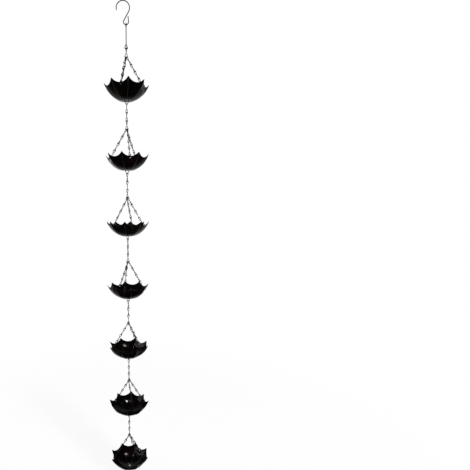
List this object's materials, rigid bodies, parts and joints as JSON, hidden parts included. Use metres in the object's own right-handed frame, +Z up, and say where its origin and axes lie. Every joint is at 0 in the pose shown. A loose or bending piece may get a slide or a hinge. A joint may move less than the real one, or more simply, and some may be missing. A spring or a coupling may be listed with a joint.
{
  "type": "rain chain",
  "caption": "Rain chain that leads water from a gutter down through black upside-down umbrella cups, linked by jack chain and hung on an S-hook.",
  "frame": {"origin": "the seat of the S-hook's upper bend, where it hangs on a pin or bracket", "axes": "+Z up along the chain, X in the plane of the S-hook, whose upper bend opens towards -X"},
  "size_m": [0.1646, 0.1646, 1.8395],
  "materials": {
    "cup_enamel": "gloss black enamel",
    "wire_enamel": "semi-gloss black enamel"
  },
  "bodies": {
    "s_hook": {"s_hook": "wire_enamel"},
    "long_link": {"long_link": "wire_enamel"},
    "top_link": {"top_link": "wire_enamel"},
    "cup_unit_1": {"cup_1": "cup_enamel", "bail_1": "wire_enamel", "hanger_chain_1_1": "wire_enamel", "hanger_chain_1_2": "wire_enamel", "hanger_chain_1_3": "wire_enamel"},
    "drop_link_1_1": {"drop_link_1_1": "wire_enamel"},
    "drop_link_1_2": {"drop_link_1_2": "wire_enamel"},
    "drop_link_1_3": {"drop_link_1_3": "wire_enamel"},
    "cup_unit_2": {"cup_2": "cup_enamel", "bail_2": "wire_enamel", "hanger_chain_2_1": "wire_enamel", "hanger_chain_2_2": "wire_enamel", "hanger_chain_2_3": "wire_enamel"},
    "drop_link_2_1": {"drop_link_2_1": "wire_enamel"},
    "drop_link_2_2": {"drop_link_2_2": "wire_enamel"},
    "drop_link_2_3": {"drop_link_2_3": "wire_enamel"},
    "cup_unit_3": {"cup_3": "cup_enamel", "bail_3": "wire_enamel", "hanger_chain_3_1": "wire_enamel", "hanger_chain_3_2": "wire_enamel", "hanger_chain_3_3": "wire_enamel"},
    "drop_link_3_1": {"drop_link_3_1": "wire_enamel"},
    "drop_link_3_2": {"drop_link_3_2": "wire_enamel"},
    "drop_link_3_3": {"drop_link_3_3": "wire_enamel"},
    "cup_unit_4": {"cup_4": "cup_enamel", "bail_4": "wire_enamel", "hanger_chain_4_1": "wire_enamel", "hanger_chain_4_2": "wire_enamel", "hanger_chain_4_3": "wire_enamel"},
    "drop_link_4_1": {"drop_link_4_1": "wire_enamel"},
    "drop_link_4_2": {"drop_link_4_2": "wire_enamel"},
    "drop_link_4_3": {"drop_link_4_3": "wire_enamel"},
    "cup_unit_5": {"cup_5": "cup_enamel", "bail_5": "wire_enamel", "hanger_chain_5_1": "wire_enamel", "hanger_chain_5_2": "wire_enamel", "hanger_chain_5_3": "wire_enamel"},
    "drop_link_5_1": {"drop_link_5_1": "wire_enamel"},
    "drop_link_5_2": {"drop_link_5_2": "wire_enamel"},
    "drop_link_5_3": {"drop_link_5_3": "wire_enamel"},
    "cup_unit_6": {"cup_6": "cup_enamel", "bail_6": "wire_enamel", "hanger_chain_6_1": "wire_enamel", "hanger_chain_6_2": "wire_enamel", "hanger_chain_6_3": "wire_enamel"},
    "drop_link_6_1": {"drop_link_6_1": "wire_enamel"},
    "drop_link_6_2": {"drop_link_6_2": "wire_enamel"},
    "drop_link_6_3": {"drop_link_6_3": "wire_enamel"},
    "cup_unit_7": {"cup_7": "cup_enamel", "bail_7": "wire_enamel", "hanger_chain_7_1": "wire_enamel", "hanger_chain_7_2": "wire_enamel", "hanger_chain_7_3": "wire_enamel"}
  },
  "joints": [
    {"name": "long_link_swing", "type": "hinge", "parent": "s_hook", "child": "long_link", "pos_m": [0.0108, 0, -0.07695], "axis": [1, 0, 0], "range_deg": [-40, 40]},
    {"name": "top_link_swing", "type": "hinge", "parent": "long_link", "child": "top_link", "pos_m": [0.0108, 0, -0.15329], "axis": [-0.5, 0.866, 0], "range_deg": [-10, 10]},
    {"name": "cup_1_swing", "type": "hinge", "parent": "top_link", "child": "cup_unit_1", "pos_m": [0.0108, 0, -0.18549], "axis": [0.866, 0.5, 0], "range_deg": [-15, 15]},
    {"name": "drop_1_1_swing", "type": "hinge", "parent": "cup_unit_1", "child": "drop_link_1_1", "pos_m": [0.0108, 0, -0.34211], "axis": [-0.1564, 0.9877, 0], "range_deg": [-20, 20]},
    {"name": "drop_1_2_swing", "type": "hinge", "parent": "drop_link_1_1", "child": "drop_link_1_2", "pos_m": [0.0108, 0, -0.37431], "axis": [-0.9877, -0.1564, 0], "range_deg": [-20, 20]},
    {"name": "drop_1_3_swing", "type": "hinge", "parent": "drop_link_1_2", "child": "drop_link_1_3", "pos_m": [0.0108, 0, -0.40176], "axis": [-0.5446, -0.8387, 0], "range_deg": [-20, 20]},
    {"name": "cup_2_swing", "type": "hinge", "parent": "drop_link_1_3", "child": "cup_unit_2", "pos_m": [0.0108, 0, -0.43396], "axis": [0.8387, -0.5446, 0], "range_deg": [-15, 15]},
    {"name": "drop_2_1_swing", "type": "hinge", "parent": "cup_unit_2", "child": "drop_link_2_1", "pos_m": [0.0108, 0, -0.59058], "axis": [0.8746, 0.4848, 0], "range_deg": [-10, 10]},
    {"name": "drop_2_2_swing", "type": "hinge", "parent": "drop_link_2_1", "child": "drop_link_2_2", "pos_m": [0.0108, 0, -0.62278], "axis": [-0.4848, 0.8746, 0], "range_deg": [-10, 10]},
    {"name": "drop_2_3_swing", "type": "hinge", "parent": "drop_link_2_2", "child": "drop_link_2_3", "pos_m": [0.0108, 0, -0.65023], "axis": [-0.891, 0.454, 0], "range_deg": [-10, 10]},
    {"name": "cup_3_swing", "type": "hinge", "parent": "drop_link_2_3", "child": "cup_unit_3", "pos_m": [0.0108, 0, -0.68243], "axis": [-0.454, -0.891, 0], "range_deg": [-15, 15]},
    {"name": "drop_3_1_swing", "type": "hinge", "parent": "cup_unit_3", "child": "drop_link_3_1", "pos_m": [0.0108, 0, -0.83905], "axis": [-0.8056, 0.5925, 0], "range_deg": [-40, 40]},
    {"name": "drop_3_2_swing", "type": "hinge", "parent": "drop_link_3_1", "child": "drop_link_3_2", "pos_m": [0.0108, 0, -0.87125], "axis": [-0.5925, -0.8056, 0], "range_deg": [-40, 40]},
    {"name": "drop_3_3_swing", "type": "hinge", "parent": "drop_link_3_2", "child": "drop_link_3_3", "pos_m": [0.0108, 0, -0.89871], "axis": [0.5736, -0.8192, 0], "range_deg": [-40, 40]},
    {"name": "cup_4_swing", "type": "hinge", "parent": "drop_link_3_3", "child": "cup_unit_4", "pos_m": [0.0108, 0, -0.93091], "axis": [0.8192, 0.5736, 0], "range_deg": [-15, 15]},
    {"name": "drop_4_1_swing", "type": "hinge", "parent": "cup_unit_4", "child": "drop_link_4_1", "pos_m": [0.0108, 0, -1.08753], "axis": [-0.8192, 0.5736, 0], "range_deg": [-20, 20]},
    {"name": "drop_4_2_swing", "type": "hinge", "parent": "drop_link_4_1", "child": "drop_link_4_2", "pos_m": [0.0108, 0, -1.11973], "axis": [-0.5736, -0.8192, 0], "range_deg": [-20, 20]},
    {"name": "drop_4_3_swing", "type": "hinge", "parent": "drop_link_4_2", "child": "drop_link_4_3", "pos_m": [0.0108, 0, -1.14718], "axis": [0.9962, 0.0872, 0], "range_deg": [-20, 20]},
    {"name": "cup_5_swing", "type": "hinge", "parent": "drop_link_4_3", "child": "cup_unit_5", "pos_m": [0.0108, 0, -1.17938], "axis": [-0.0872, 0.9962, 0], "range_deg": [-15, 15]},
    {"name": "drop_5_1_swing", "type": "hinge", "parent": "cup_unit_5", "child": "drop_link_5_1", "pos_m": [0.0108, 0, -1.336], "axis": [-0.9957, 0.0929, 0], "range_deg": [-40, 40]},
    {"name": "drop_5_2_swing", "type": "hinge", "parent": "drop_link_5_1", "child": "drop_link_5_2", "pos_m": [0.0108, 0, -1.3682], "axis": [-0.0929, -0.9957, 0], "range_deg": [-40, 40]},
    {"name": "drop_5_3_swing", "type": "hinge", "parent": "drop_link_5_2", "child": "drop_link_5_3", "pos_m": [0.0108, 0, -1.39566], "axis": [0.8988, -0.4384, 0], "range_deg": [-40, 40]},
    {"name": "cup_6_swing", "type": "hinge", "parent": "drop_link_5_3", "child": "cup_unit_6", "pos_m": [0.0108, 0, -1.42786], "axis": [0.4384, 0.8988, 0], "range_deg": [-15, 15]},
    {"name": "drop_6_1_swing", "type": "hinge", "parent": "cup_unit_6", "child": "drop_link_6_1", "pos_m": [0.0108, 0, -1.58448], "axis": [-0.9628, 0.27, 0], "range_deg": [-40, 40]},
    {"name": "drop_6_2_swing", "type": "hinge", "parent": "drop_link_6_1", "child": "drop_link_6_2", "pos_m": [0.0108, 0, -1.61668], "axis": [-0.27, -0.9628, 0], "range_deg": [-40, 40]},
    {"name": "drop_6_3_swing", "type": "hinge", "parent": "drop_link_6_2", "child": "drop_link_6_3", "pos_m": [0.0108, 0, -1.64413], "axis": [0.9962, 0.0872, 0], "range_deg": [-40, 40]},
    {"name": "cup_7_swing", "type": "hinge", "parent": "drop_link_6_3", "child": "cup_unit_7", "pos_m": [0.0108, 0, -1.67633], "axis": [-0.0872, 0.9962, 0], "range_deg": [-15, 15]}
  ]
}
